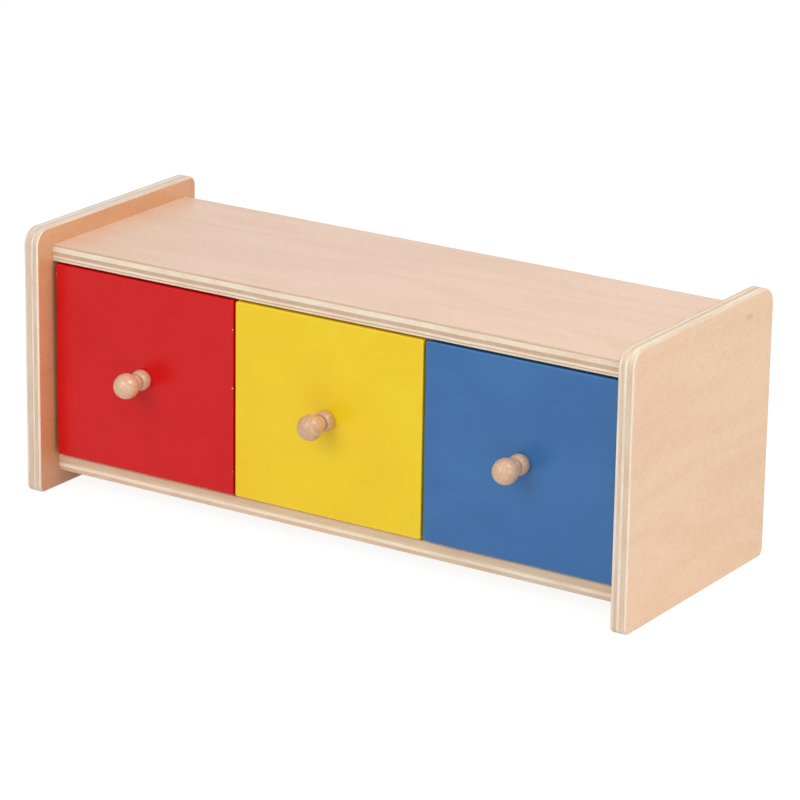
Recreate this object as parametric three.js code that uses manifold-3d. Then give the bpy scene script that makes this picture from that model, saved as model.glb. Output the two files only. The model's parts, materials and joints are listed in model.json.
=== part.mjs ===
// A wooden box with three tilt-out bins, for toddlers. Millimetres, +Z up, +X along the box, +Y to its back.
// Heights and depths below are measured from the floor and from the front edges of the end panels.
import * as THREE from "three";
import { mergeVertices } from "three/addons/utils/BufferGeometryUtils.js";
import Module from "manifold-3d";

const wasm = await Module();
wasm.setup();

// The case
const boxLength = 368;
const boxDepth = 141;
const boxHeight = 145;
const plyThick = 9;
const frontTopRadius = 9;
const rearTopRadius = 5;
const footRadius = 4;
const panelArris = 1.2;
const topLip = 10;
const footRise = 9;
const topSetback = 13;
const bottomSetback = 16.5;
const boardRearSetback = 9;
const boardArris = 1;
const backThick = 4;
const backInset = 4;
const backGrooveDepth = 3;
const dividerThick = 6;
const dadoDepth = 2.5;
const dadoStop = 0.3;
const dowelDiameter = 5;
const dowelLength = 18;
const dowelInPanel = 6;
const dowelEdge = 28;
const dowelChamfer = 0.6;

// The bins and their fronts
const binColours = { red: 0xd02d30, yellow: 0xf0cb32, blue: 0x4472a8 };
const frontThick = 5;
const frontSetback = 12.2;
const frontArris = 1.2;
const frontCornerRadius = 1.5;
const gapAboveFront = 1;
const gapBelowFront = 1.7;
const gapAtEnds = 2.5;
const gapBetween = 1.4;
const sideThick = 6;
const sideDrop = 13;
const tongueDepth = 1.5;
const tongueInset = 8;
const floorThick = 4;
const floorLift = 2.2;
const binBackThick = 6;
const binBackSetIn = 6;
const binBackDrop = 1.2;
const binGrooveDepth = 2.5;

// The pivots and the stops
const pivotBehindFront = 4.5;
const openAngle = THREE.MathUtils.degToRad(45);
const pinDiameter = 4;
const pinSeat = 6;
const pinSetIn = 0.5;
const spacerDiameter = 8;

// The knobs and their screws
const knobLength = 21.8;
const knobHeadRadius = 6.8;
const knobNeckRadius = 4.25;
const knobBeadRadius = 5.55;
const knobBeadMiddle = 2.65;
const knobBeadLength = 6.2;
const knobGrooveRadius = 3.4;
const knobGrooveWidth = 0.9;
const screwShankRadius = 1.75;
const screwHeadRadius = 3.5;
const screwRim = 0.3;
const screwHeadDepth = 2.1;
const screwGrip = 10;
const screwPoint = 2;

// Clearances
const glueLine = 0.05;
const groovePlay = 0.1;
const runningPlay = 0.12;
const holeEnd = 0.3;
const screwPlay = 0.15;
const restGap = 0.3;
const swingClearance = 0.35;
const dividerClearance = 0.7;
const sideClearance = 0.7;
const binRearClearance = 8;
const spacerPlay = 0.25;

// Facets
const roundSides = 24;
const dowelSides = 16;
const knobSides = 30;
const cornerSteps = 6;
const arrisSteps = 3;
const beadSteps = 6;
const headSteps = 12;
const weld = 1e-4;
const through = 1;

// Places that follow from the sizes
const innerX = boxLength / 2 - plyThick;
const topBoardTop = boxHeight - topLip;
const topUnder = topBoardTop - plyThick;
const floorTop = footRise + plyThick;
const boardRear = boxDepth - boardRearSetback;
const backRear = boardRear - backInset;
const backFront = backRear - backThick;
const frontRear = frontSetback + frontThick;
const frontBottom = floorTop + gapBelowFront;
const frontTop = topUnder - gapAboveFront;
const frontMiddle = (frontBottom + frontTop) / 2;
const frontWidth = (2 * innerX - 2 * gapAtEnds - 2 * gapBetween) / 3;
const pitch = frontWidth + gapBetween;
const pinRadius = pinDiameter / 2;
const dowelRadius = dowelDiameter / 2;
const sideInset = (dividerThick - gapBetween) / 2 + sideClearance;
const sideOuter = frontWidth / 2 - sideInset;
const sideInner = sideOuter - sideThick;
const sideBottom = floorTop + restGap;
const sideTop = frontTop - sideDrop;
const binFloorUnder = sideBottom + floorLift;
const binFloorTop = binFloorUnder + floorThick;

// The pivot stands just high enough for the front's lower edge to swing over the bottom board.
const pivotY = frontRear + pivotBehindFront;
const edgeReach = pivotY - frontSetback - frontArris;
const edgeHeight = gapBelowFront - swingClearance;
const edgeSum = 2 * (floorTop + frontArris) + gapBelowFront + swingClearance;
const pivotZ = (edgeReach ** 2 / edgeHeight + edgeSum) / 2;
const toeRadius = pivotZ - sideBottom;

// A bin reaches back to binReach, and its rear top corner meets the top board at openAngle.
const binReach = backFront - binRearClearance - pivotY;
const binRise = (topUnder - pivotZ - binReach * Math.sin(openAngle)) / Math.cos(openAngle);
const binBackRear = pivotY + binReach - binBackSetIn;
const binBackFront = binBackRear - binBackThick;
const binBackTop = pivotZ + binRise - binBackDrop;

// Booleans: a closed geometry becomes a solid, tools are cut from it, and it comes back as a geometry.
function toSolid(geometry) {
  const bare = geometry.clone();
  bare.deleteAttribute("normal");
  bare.deleteAttribute("uv");
  const merged = mergeVertices(bare, weld);
  const vertProperties = merged.attributes.position.array;
  const triVerts = new Uint32Array(merged.index.array);
  return new wasm.Manifold(new wasm.Mesh({ numProp: 3, vertProperties, triVerts }));
}

function cut(geometry, ...tools) {
  const left = tools.reduce((solid, tool) => solid.subtract(toSolid(tool)), toSolid(geometry));
  const mesh = left.getMesh();
  const result = new THREE.BufferGeometry();
  result.setAttribute("position", new THREE.BufferAttribute(mesh.vertProperties, 3));
  result.setIndex(new THREE.BufferAttribute(mesh.triVerts, 1));
  result.computeVertexNormals();
  return result;
}

// A block between two corners.
function block(x0, x1, y0, y1, z0, z1) {
  const geometry = new THREE.BoxGeometry(x1 - x0, y1 - y0, z1 - z0);
  return geometry.translate((x0 + x1) / 2, (y0 + y1) / 2, (z0 + z1) / 2);
}

// A round bar along X, through the point y, z.
function barAlongX(radius, x0, x1, y, z, sides = roundSides) {
  const geometry = new THREE.CylinderGeometry(radius, radius, x1 - x0, sides);
  return geometry.rotateZ(-Math.PI / 2).translate((x0 + x1) / 2, y, z);
}

// The radius of a faceted hole that a round bar turns in freely.
function runningHole(radius) {
  return (radius + runningPlay) / Math.cos(Math.PI / roundSides);
}

// A rectangle with its own radius at each corner, going round from the lower left.
function roundedRectangle(a0, b0, a1, b1, radii) {
  const [lowerLeft, lowerRight, upperRight, upperLeft] = radii;
  const shape = new THREE.Shape();
  shape.absarc(a0 + lowerLeft, b0 + lowerLeft, lowerLeft, Math.PI, 1.5 * Math.PI);
  shape.absarc(a1 - lowerRight, b0 + lowerRight, lowerRight, 1.5 * Math.PI, 2 * Math.PI);
  shape.absarc(a1 - upperRight, b1 - upperRight, upperRight, 0, 0.5 * Math.PI);
  shape.absarc(a0 + upperLeft, b1 - upperLeft, upperLeft, 0.5 * Math.PI, Math.PI);
  shape.closePath();
  return shape;
}

// Extrudes a shape by depth, with rounded arrises that stay inside the shape's outline.
function extrude(shape, depth, arris, curveSegments) {
  const settings = { depth, curveSegments, bevelEnabled: false };
  if (arris > 0) {
    settings.depth = depth - 2 * arris;
    settings.bevelEnabled = true;
    settings.bevelThickness = arris;
    settings.bevelSize = arris;
    settings.bevelOffset = -arris;
    settings.bevelSegments = arrisSteps;
  }
  return new THREE.ExtrudeGeometry(shape, settings).translate(0, 0, arris);
}

// A profile drawn in Y and Z, extruded from x0 to x1.
function alongX(shape, x0, x1, arris = 0, curveSegments = cornerSteps) {
  const turn = new THREE.Matrix4();
  turn.makeBasis(new THREE.Vector3(0, 1, 0), new THREE.Vector3(0, 0, 1), new THREE.Vector3(1, 0, 0));
  return extrude(shape, x1 - x0, arris, curveSegments).applyMatrix4(turn).translate(x0, 0, 0);
}

// An outline drawn in X and Z, extruded from y0 back to y1.
function alongY(shape, y0, y1, arris = 0, curveSegments = cornerSteps) {
  return extrude(shape, y1 - y0, arris, curveSegments).rotateX(Math.PI / 2).translate(0, y1, 0);
}

// A turned profile of radius and height, whose height runs forward from y.
function turnedForward(points, y, z, sides) {
  return new THREE.LatheGeometry(points, sides).rotateX(Math.PI).translate(0, y, z);
}

// Points of an arc, from one angle to another.
function arc(centreA, centreB, radius, from, to, steps) {
  return Array.from({ length: steps + 1 }, (_, step) => {
    const angle = from + ((to - from) * step) / steps;
    return new THREE.Vector2(centreA + radius * Math.cos(angle), centreB + radius * Math.sin(angle));
  });
}

// A stretch of X between two distances from the middle, on the left (-1) or on the right (1).
function outward(side, near, far) {
  return side < 0 ? [-far, -near] : [near, far];
}

const group = new THREE.Group();
group.position.y = -(boxDepth + frontSetback - glueLine - knobLength) / 2;

function addPiece(parent, name, geometry, color, roughness, metalness = 0) {
  const mesh = new THREE.Mesh(geometry, new THREE.MeshStandardMaterial({ color, roughness, metalness }));
  mesh.name = name;
  parent.add(mesh);
}

const addPly = (parent, name, geometry) => addPiece(parent, name, geometry, 0xeccdb2, 0.55);
const addHardwood = (parent, name, geometry) => addPiece(parent, name, geometry, 0xe1b996, 0.5);
const addSteel = (parent, name, geometry) => addPiece(parent, name, geometry, 0xb8babd, 0.3, 1);

const sideNames = { left: -1, right: 1 };
const rowNames = { top: topUnder + plyThick / 2, bottom: footRise + plyThick / 2 };
const dowelDepths = { front: topSetback + dowelEdge, rear: boardRear - dowelEdge };

// End panels: rounded boards that stand on the floor, with blind holes and a groove in their inner faces.
function endPanel(side) {
  const radii = [footRadius, footRadius, rearTopRadius, frontTopRadius];
  const outline = roundedRectangle(0, 0, boxDepth, boxHeight, radii);
  const holeX = outward(side, innerX - through, innerX + dowelInPanel + holeEnd);
  const pinX = outward(side, innerX - through, innerX + pinSeat + holeEnd);
  const grooveX = outward(side, innerX - through, innerX + backGrooveDepth);
  const grooveZ = [floorTop - backGrooveDepth, topUnder + backGrooveDepth];
  const tools = [
    barAlongX(pinRadius + glueLine, ...pinX, pivotY, pivotZ),
    block(...grooveX, backFront - groovePlay, backRear + groovePlay, ...grooveZ),
  ];
  for (const z of Object.values(rowNames)) {
    for (const y of Object.values(dowelDepths)) {
      tools.push(barAlongX(dowelRadius + glueLine, ...holeX, y, z, dowelSides));
    }
  }
  return cut(alongX(outline, ...outward(side, innerX, boxLength / 2), panelArris), ...tools);
}

// The top and bottom boards: dowelled into the end panels, with dados for the dividers and a groove for the back.
function board(front, under, grooveZ, dadoZ, dadoFront) {
  const radii = [boardArris, boardArris, boardArris, boardArris];
  const profile = roundedRectangle(front, under, boardRear, under + plyThick, radii);
  const endX = innerX - glueLine;
  const tools = [block(-innerX, innerX, backFront - groovePlay, backRear + groovePlay, ...grooveZ)];
  for (const side of Object.values(sideNames)) {
    const middle = (side * pitch) / 2;
    const half = dividerThick / 2 + groovePlay;
    tools.push(block(middle - half, middle + half, dadoFront, backFront, ...dadoZ));
    const holeX = outward(side, innerX + dowelInPanel - dowelLength - holeEnd, innerX + through);
    for (const y of Object.values(dowelDepths)) {
      tools.push(barAlongX(dowelRadius + glueLine, ...holeX, y, under + plyThick / 2, dowelSides));
    }
  }
  return cut(alongX(profile, -endX, endX, 0, arrisSteps), ...tools);
}

// The dividers stand behind the fronts, rounded about the pivot and sloped below it, clear of a front that tilts.
const dividerFront = frontRear + dividerClearance;
const dividerTongue = pivotBehindFront - dividerClearance;

function dividerFoot(z) {
  const slopeY = pivotY - dividerTongue * Math.cos(openAngle);
  const slopeZ = pivotZ - dividerTongue * Math.sin(openAngle);
  return slopeY + (slopeZ - z) * Math.tan(openAngle);
}

function divider(middle) {
  const lower = floorTop - dadoDepth + groovePlay;
  const upper = topUnder + dadoDepth - groovePlay;
  const rear = backFront - glueLine;
  const profile = new THREE.Shape();
  profile.moveTo(dividerFront, upper);
  profile.lineTo(dividerFront, pivotZ);
  profile.absarc(pivotY, pivotZ, dividerTongue, Math.PI, Math.PI + openAngle);
  profile.lineTo(dividerFoot(lower), lower);
  profile.lineTo(rear, lower);
  profile.lineTo(rear, upper);
  profile.closePath();
  const x0 = middle - dividerThick / 2;
  const x1 = middle + dividerThick / 2;
  const hole = barAlongX(pinRadius + glueLine, x0 - through, x1 + through, pivotY, pivotZ);
  return cut(alongX(profile, x0, x1), hole);
}

// A dowel with chamfered ends, along X.
function dowel(x0, y, z) {
  const points = [
    new THREE.Vector2(0, 0),
    new THREE.Vector2(dowelRadius - dowelChamfer, 0),
    new THREE.Vector2(dowelRadius, dowelChamfer),
    new THREE.Vector2(dowelRadius, dowelLength - dowelChamfer),
    new THREE.Vector2(dowelRadius - dowelChamfer, dowelLength),
    new THREE.Vector2(0, dowelLength),
  ];
  return new THREE.LatheGeometry(points, dowelSides).rotateZ(-Math.PI / 2).translate(x0, y, z);
}

// A sleeve on an end pin, which keeps the outer bin off the end panel.
function spacer(side) {
  const ring = new THREE.Shape().absarc(pivotY, pivotZ, spacerDiameter / 2, 0, 2 * Math.PI);
  ring.holes.push(new THREE.Path().absarc(pivotY, pivotZ, runningHole(pinRadius), 0, 2 * Math.PI, true));
  const reach = outward(side, pitch + sideOuter + spacerPlay, innerX - spacerPlay);
  return alongX(ring, ...reach, 0, roundSides);
}

// The case
const topGrooveZ = [topUnder - through, topUnder + backGrooveDepth];
const topDadoZ = [topUnder - through, topUnder + dadoDepth];
const bottomGrooveZ = [floorTop - backGrooveDepth, floorTop + through];
const bottomDadoZ = [floorTop - dadoDepth, floorTop + through];
const backHalf = innerX + backGrooveDepth - groovePlay;
const backLow = floorTop - backGrooveDepth + groovePlay;
const backHigh = topUnder + backGrooveDepth - groovePlay;
addPly(group, "top_board", board(topSetback, topUnder, topGrooveZ, topDadoZ, dividerFront - dadoStop));
addPly(
  group,
  "bottom_board",
  board(bottomSetback, footRise, bottomGrooveZ, bottomDadoZ, dividerFoot(floorTop) - dadoStop),
);
addPly(group, "back_panel", block(-backHalf, backHalf, backFront, backRear, backLow, backHigh));

for (const [sideName, side] of Object.entries(sideNames)) {
  const dividerX = (side * pitch) / 2;
  const dividerPinHalf = dividerThick / 2 + sideClearance + sideThick - pinSetIn;
  const endPinX = outward(side, pitch + sideInner + pinSetIn, innerX + pinSeat);
  const dividerPinX = [dividerX - dividerPinHalf, dividerX + dividerPinHalf];
  const dowelX = outward(side, innerX + dowelInPanel - dowelLength, innerX + dowelInPanel)[0];
  addPly(group, `${sideName}_end_panel`, endPanel(side));
  addPly(group, `${sideName}_divider`, divider(dividerX));
  addSteel(group, `${sideName}_end_pin`, barAlongX(pinRadius, ...endPinX, pivotY, pivotZ));
  addSteel(group, `${sideName}_divider_pin`, barAlongX(pinRadius, ...dividerPinX, pivotY, pivotZ));
  addHardwood(group, `${sideName}_end_spacer`, spacer(side));
  for (const [rowName, z] of Object.entries(rowNames)) {
    for (const [depthName, y] of Object.entries(dowelDepths)) {
      addHardwood(group, `${rowName}_${sideName}_${depthName}_dowel`, dowel(dowelX, y, z));
    }
  }
}

// A screw's turned outline, head first, swollen by play for the hole that it passes through.
function screwOutline(play, headStart, length, point) {
  return [
    new THREE.Vector2(0, headStart),
    new THREE.Vector2(screwHeadRadius + play, headStart),
    new THREE.Vector2(screwHeadRadius + play, screwRim),
    new THREE.Vector2(screwShankRadius + play, screwHeadDepth),
    new THREE.Vector2(screwShankRadius + play, length - point),
    new THREE.Vector2(0, length),
  ];
}

const tongueTop = sideTop - tongueInset;
const tongueBottom = frontBottom + tongueInset;

// A painted front: stopped housings for the two sides, and a countersunk hole for the knob's screw.
function binFront() {
  const half = frontWidth / 2;
  const outline = roundedRectangle(-half, frontBottom, half, frontTop, Array(4).fill(frontCornerRadius));
  const housingY = [frontRear - tongueDepth - groovePlay, frontRear + through];
  const housingZ = [tongueBottom - groovePlay, tongueTop + groovePlay];
  const housings = Object.values(sideNames).map((side) =>
    block(...outward(side, sideInner - groovePlay, sideOuter + groovePlay), ...housingY, ...housingZ),
  );
  const hole = screwOutline(screwPlay, -through, frontThick + through, 0);
  const slab = alongY(outline, frontSetback, frontRear, frontArris, arrisSteps);
  return cut(slab, ...housings, turnedForward(hole, frontRear, frontMiddle, dowelSides));
}

// A bin side: tongued into the front, rounded at its toe and rear about the pivot, sloped along its top.
function binSide(side) {
  const face = frontRear + glueLine;
  const toeAngle = Math.acos((face - pivotY) / toeRadius);
  const heelAngle = Math.asin(toeRadius / binReach);
  const rearAngle = Math.asin(Math.min(binRise, 0) / binReach);
  const profile = new THREE.Shape();
  profile.moveTo(face, sideTop);
  profile.lineTo(face, tongueTop);
  profile.lineTo(frontRear - tongueDepth, tongueTop);
  profile.lineTo(frontRear - tongueDepth, tongueBottom);
  profile.lineTo(face, tongueBottom);
  profile.absarc(pivotY, pivotZ, toeRadius, -toeAngle, -Math.PI / 2);
  profile.absarc(pivotY, pivotZ, binReach, -heelAngle, rearAngle);
  profile.lineTo(pivotY + binReach * Math.cos(rearAngle), pivotZ + binRise);
  profile.closePath();
  const [x0, x1] = outward(side, sideInner, sideOuter);
  const grooveX = outward(side, sideInner - through, sideInner + binGrooveDepth);
  const floorGrooveY = [frontRear - through, binBackRear + groovePlay];
  const floorGrooveZ = [binFloorUnder - groovePlay, binFloorTop + groovePlay];
  const backGrooveY = [binBackFront - groovePlay, binBackRear + groovePlay];
  return cut(
    alongX(profile, x0, x1),
    barAlongX(runningHole(pinRadius), x0 - through, x1 + through, pivotY, pivotZ),
    block(...grooveX, ...floorGrooveY, ...floorGrooveZ),
    block(...grooveX, ...backGrooveY, binFloorTop, binBackTop + groovePlay),
  );
}

// A knob turned in one piece: a bead, a groove, a short neck and a ball, bored for its screw.
function knob() {
  const boreRadius = screwShankRadius + screwPlay;
  const boreDepth = screwGrip + holeEnd;
  const headMiddle = knobLength - knobHeadRadius;
  const beadFoot = -Math.asin(knobBeadMiddle / knobBeadRadius);
  const beadEnd = Math.asin((knobBeadLength - knobBeadMiddle) / knobBeadRadius);
  const throatAngle = -Math.acos(knobNeckRadius / knobHeadRadius);
  const points = [
    new THREE.Vector2(0, boreDepth),
    new THREE.Vector2(boreRadius, boreDepth),
    new THREE.Vector2(boreRadius, 0),
    ...arc(0, knobBeadMiddle, knobBeadRadius, beadFoot, beadEnd, beadSteps),
    new THREE.Vector2(knobGrooveRadius, knobBeadLength + knobGrooveWidth / 2),
    new THREE.Vector2(knobNeckRadius, knobBeadLength + knobGrooveWidth),
    ...arc(0, headMiddle, knobHeadRadius, throatAngle, Math.PI / 2, headSteps),
  ];
  return turnedForward(points, frontSetback - glueLine, frontMiddle, knobSides);
}

// The bins
const binHalf = sideInner + binGrooveDepth - groovePlay;
const screwLength = frontThick + screwGrip;
Object.entries(binColours).forEach(([colour, paint], place) => {
  const bin = new THREE.Group();
  bin.position.x = (place - 1) * pitch;
  group.add(bin);
  const screw = screwOutline(0, 0, screwLength, screwPoint);
  const floor = block(-binHalf, binHalf, frontRear + glueLine, binBackRear, binFloorUnder, binFloorTop);
  const back = block(-binHalf, binHalf, binBackFront, binBackRear, binFloorTop + glueLine, binBackTop);
  addPiece(bin, `${colour}_front`, binFront(), paint, 0.45);
  for (const [sideName, side] of Object.entries(sideNames)) {
    addPly(bin, `${colour}_bin_${sideName}_side`, binSide(side));
  }
  addPly(bin, `${colour}_bin_floor`, floor);
  addPly(bin, `${colour}_bin_back`, back);
  addHardwood(bin, `${colour}_knob`, knob());
  addSteel(bin, `${colour}_knob_screw`, turnedForward(screw, frontRear - glueLine, frontMiddle, dowelSides));
});

export default group;
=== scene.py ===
import json
import math

import bmesh
import bpy
from mathutils import Matrix, Vector


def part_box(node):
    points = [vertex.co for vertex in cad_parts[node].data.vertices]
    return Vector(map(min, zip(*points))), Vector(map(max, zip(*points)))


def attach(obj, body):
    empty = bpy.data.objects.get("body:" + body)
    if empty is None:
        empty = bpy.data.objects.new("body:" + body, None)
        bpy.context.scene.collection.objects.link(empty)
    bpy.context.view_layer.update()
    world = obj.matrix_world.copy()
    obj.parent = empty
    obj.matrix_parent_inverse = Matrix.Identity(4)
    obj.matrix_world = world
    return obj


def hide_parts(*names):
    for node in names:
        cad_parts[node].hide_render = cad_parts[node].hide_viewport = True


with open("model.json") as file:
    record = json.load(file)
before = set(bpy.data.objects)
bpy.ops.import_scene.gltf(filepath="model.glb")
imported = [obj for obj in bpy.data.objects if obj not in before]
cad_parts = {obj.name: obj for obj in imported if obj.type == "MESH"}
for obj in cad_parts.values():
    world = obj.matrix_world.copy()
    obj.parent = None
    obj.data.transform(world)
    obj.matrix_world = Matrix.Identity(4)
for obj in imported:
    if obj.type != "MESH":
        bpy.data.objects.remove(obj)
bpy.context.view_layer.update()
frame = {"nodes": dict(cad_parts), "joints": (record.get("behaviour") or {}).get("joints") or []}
scene = bpy.context.scene
alongBox = Vector((1, 0, 0))
towardsBack = Vector((0, 1, 0))
upwards = Vector((0, 0, 1))
binColours = ("red", "yellow", "blue")
sideSigns = {"left": -1, "right": 1}
pivots = {joint["child"]: Vector(joint["pos_m"]) for joint in frame["joints"]}
print("frame loaded:", len(frame["nodes"]), "nodes")


# Screen colours from 0 to 255, made linear by the usual sRGB curve
def srgb(red, green, blue):
    shares = [value / 255 for value in (red, green, blue)]
    linear = [s / 12.92 if s <= 0.04045 else ((s + 0.055) / 1.055) ** 2.4 for s in shares]
    return (*linear, 1.0)


# Nodes

def feed(tree, socket, value):
    if isinstance(value, bpy.types.NodeSocket):
        tree.links.new(value, socket)
    else:
        socket.default_value = value


def addNode(tree, kind, inputs=None, **settings):
    made = tree.nodes.new(kind)
    for key, value in settings.items():
        setattr(made, key, value)
    for key, value in (inputs or {}).items():
        feed(tree, made.inputs[key], value)
    return made


def maths(tree, operation, first, second=0.0, clamp=False):
    made = addNode(tree, "ShaderNodeMath", {0: first, 1: second}, operation=operation, use_clamp=clamp)
    return made.outputs[0]


def vectorMaths(tree, operation, first, second=(0.0, 0.0, 0.0)):
    made = addNode(tree, "ShaderNodeVectorMath", {0: first, 1: second}, operation=operation)
    return made.outputs["Value" if operation == "LENGTH" else "Vector"]


def splitPoint(tree, point):
    return addNode(tree, "ShaderNodeSeparateXYZ", {0: point}).outputs


def fade(tree, value, limits, low=0.0, high=1.0):
    values = {"Value": value, "From Min": limits[0], "From Max": limits[1], "To Min": low, "To Max": high}
    made = addNode(tree, "ShaderNodeMapRange", values, interpolation_type="SMOOTHSTEP")
    return made.outputs[0]


def mixColour(tree, share, first, second, blend="MIX"):
    made = addNode(tree, "ShaderNodeMix", data_type="RGBA", blend_type=blend)
    feed(tree, made.inputs[0], share)
    feed(tree, made.inputs[6], first)
    feed(tree, made.inputs[7], second)
    return made.outputs[2]


def tint(tree, colour, mask, share, other):
    return mixColour(tree, maths(tree, "MULTIPLY", mask, share), colour, other)


# A scale of three numbers stretches the noise along X, Y and Z
def noise(tree, point, scale, detail=2.0, rough=0.5):
    if isinstance(scale, tuple):
        point = vectorMaths(tree, "MULTIPLY", point, scale)
        scale = 1.0
    values = {"Vector": point, "Scale": scale, "Detail": detail, "Roughness": rough}
    return addNode(tree, "ShaderNodeTexNoise", values).outputs[0]


def newGroup(name, inputs, outputs):
    group = bpy.data.node_groups.new(name, "ShaderNodeTree")
    for label, kind, value in inputs:
        socket = group.interface.new_socket(label, in_out="INPUT", socket_type="NodeSocket" + kind)
        if value is not None:
            socket.default_value = value
    for label in outputs:
        group.interface.new_socket(label, in_out="OUTPUT", socket_type="NodeSocketFloat")
    start = group.nodes.new("NodeGroupInput").outputs
    end = group.nodes.new("NodeGroupOutput").inputs
    return group, start, end


def useGroup(tree, group, inputs):
    return addNode(tree, "ShaderNodeGroup", inputs, node_tree=group).outputs


# Sawn and peeled wood, grain along X: fine streaks, broad contour figure, short pores and slow blotches
woodGrain = {
    "figureScale": (5.0, 30.0, 30.0),
    "streakScale": (22.0, 850.0, 850.0),
    "streakLimits": (0.25, 0.75),
    "poreScale": (130.0, 2400.0, 2400.0),
    "poreLimits": (0.62, 0.74),
    "blotchScale": 17.0,
    "mottleScale": (330.0, 520.0, 520.0),
    "mottleLimits": (0.3, 0.7),
}


def makeWoodFigure():
    values = woodGrain
    inputs = [("Point", "Vector", None), ("Lines", "Float", 30.0)]
    group, start, end = newGroup("woodFigure", inputs, ("Streak", "Figure", "Pore", "Blotch", "Mottle"))
    point = start["Point"]
    slow = noise(group, point, values["figureScale"], rough=0.45)
    wave = maths(group, "SINE", maths(group, "MULTIPLY", slow, start["Lines"]))
    feed(group, end["Figure"], maths(group, "ADD", maths(group, "MULTIPLY", wave, 0.5), 0.5))
    streak = noise(group, point, values["streakScale"], detail=4.0, rough=0.62)
    feed(group, end["Streak"], fade(group, streak, values["streakLimits"]))
    pore = noise(group, point, values["poreScale"], detail=1.0)
    feed(group, end["Pore"], fade(group, pore, values["poreLimits"]))
    feed(group, end["Blotch"], noise(group, point, values["blotchScale"]))
    mottle = noise(group, point, values["mottleScale"], detail=3.0, rough=0.7)
    feed(group, end["Mottle"], fade(group, mottle, values["mottleLimits"]))
    return group


# Plies on a board's edge: Z is through the board, and every second ply shows its end grain
plyLayers = {
    "joints": 5,
    "jointSoft": 0.014,
    "glueReach": 0.028,
    "wanderScale": (24.0, 24.0, 0.0),
    "wander": 0.09,
    "cornerTurn": 0.8,
    "edgeLimits": (0.985, 0.85),
    "plyStep": 7.31,
    "toneScale": (38.0, 38.0, 1.0),
}


def makePlyEdge():
    values = plyLayers
    numbers = range(1, values["joints"] + 1)
    inputs = [("Point", "Vector", None), ("Facing", "Vector", None), ("Thickness", "Float", 0.009)]
    inputs += [("Turned", "Float", 0.0)]
    inputs += [(f"Joint {number}", "Float", number / (values["joints"] + 1)) for number in numbers]
    group, start, end = newGroup("plyEdge", inputs, ("End grain", "Glue", "Edge", "Ply tone"))
    point = start["Point"]
    spot = splitPoint(group, point)
    facing = splitPoint(group, start["Facing"])
    wavy = maths(group, "SUBTRACT", noise(group, point, values["wanderScale"], detail=3.0), 0.5)
    depth = maths(group, "ADD", maths(group, "DIVIDE", spot["Z"], start["Thickness"]), 0.5)
    depth = maths(group, "ADD", depth, maths(group, "MULTIPLY", wavy, values["wander"]))
    turns = 0.0
    count = 0.0
    glue = 0.0
    for number in numbers:
        away = maths(group, "SUBTRACT", depth, start[f"Joint {number}"])
        step = fade(group, away, (-values["jointSoft"], values["jointSoft"]))
        turns = maths(group, "SUBTRACT" if number % 2 == 0 else "ADD", turns, step)
        count = maths(group, "ADD", count, step)
        near = fade(group, maths(group, "ABSOLUTE", away), (values["glueReach"], 0.0))
        glue = maths(group, "MAXIMUM", glue, near)
    across = [maths(group, "ABSOLUTE", facing[axis]) for axis in "XYZ"]
    corner = maths(group, "SUBTRACT", across[1], across[0])
    sideways = fade(group, corner, (-values["cornerTurn"], values["cornerTurn"]))
    shown = maths(group, "ABSOLUTE", maths(group, "SUBTRACT", sideways, start["Turned"]))
    endGrain = maths(group, "ABSOLUTE", maths(group, "SUBTRACT", turns, shown), clamp=True)
    feed(group, end["End grain"], endGrain)
    feed(group, end["Glue"], glue)
    feed(group, end["Edge"], fade(group, across[2], values["edgeLimits"]))
    ply = maths(group, "MULTIPLY", maths(group, "ROUND", count), values["plyStep"])
    own = addNode(group, "ShaderNodeCombineXYZ", {"X": spot["X"], "Y": spot["Y"], "Z": ply}).outputs[0]
    feed(group, end["Ply tone"], noise(group, own, values["toneScale"]))
    return group


# Wear on a rounded edge: a rubbed line, and small chips where a coarse noise peaks
wearPattern = {
    "patchScale": 60.0,
    "patchLimits": (0.35, 0.65),
    "leastRub": 0.35,
    "chipLevel": 0.86,
    "chipGain": 0.26,
    "chipSoft": 0.03,
    "edgeLimits": (0.12, 0.4),
}


def makeEdgeWear():
    values = wearPattern
    inputs = [("Arris", "Float", 0.0), ("Point", "Vector", None), ("Chip size", "Float", 0.004)]
    inputs += [("Chips", "Float", 0.5)]
    group, start, end = newGroup("edgeWear", inputs, ("Rub", "Chip"))
    point = start["Point"]
    patchy = noise(group, point, values["patchScale"], detail=3.0, rough=0.6)
    patchy = fade(group, patchy, values["patchLimits"], low=values["leastRub"])
    feed(group, end["Rub"], maths(group, "MULTIPLY", start["Arris"], patchy, clamp=True))
    coarse = noise(group, point, maths(group, "DIVIDE", 1.0, start["Chip size"]), rough=0.6)
    gain = maths(group, "MULTIPLY", start["Chips"], values["chipGain"])
    level = maths(group, "SUBTRACT", values["chipLevel"], gain)
    peak = fade(group, maths(group, "SUBTRACT", coarse, level), (0.0, values["chipSoft"]))
    edge = fade(group, start["Arris"], values["edgeLimits"])
    feed(group, end["Chip"], maths(group, "MULTIPLY", peak, edge, clamp=True))
    return group


# A turned blank: rings about a pith that is off the axis, flecks and streaks along Z
turnedBlank = {
    "pith": (0.017, 0.011, 0.0),
    "ringTaper": (1.0, 1.0, 0.06),
    "bendScale": 110.0,
    "bend": 2.6,
    "fleckScale": (2300.0, 2300.0, 330.0),
    "fleckLimits": (0.6, 0.72),
    "streakScale": (760.0, 760.0, 45.0),
    "streakLimits": (0.25, 0.75),
    "latheScale": (20.0, 20.0, 2600.0),
}


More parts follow.
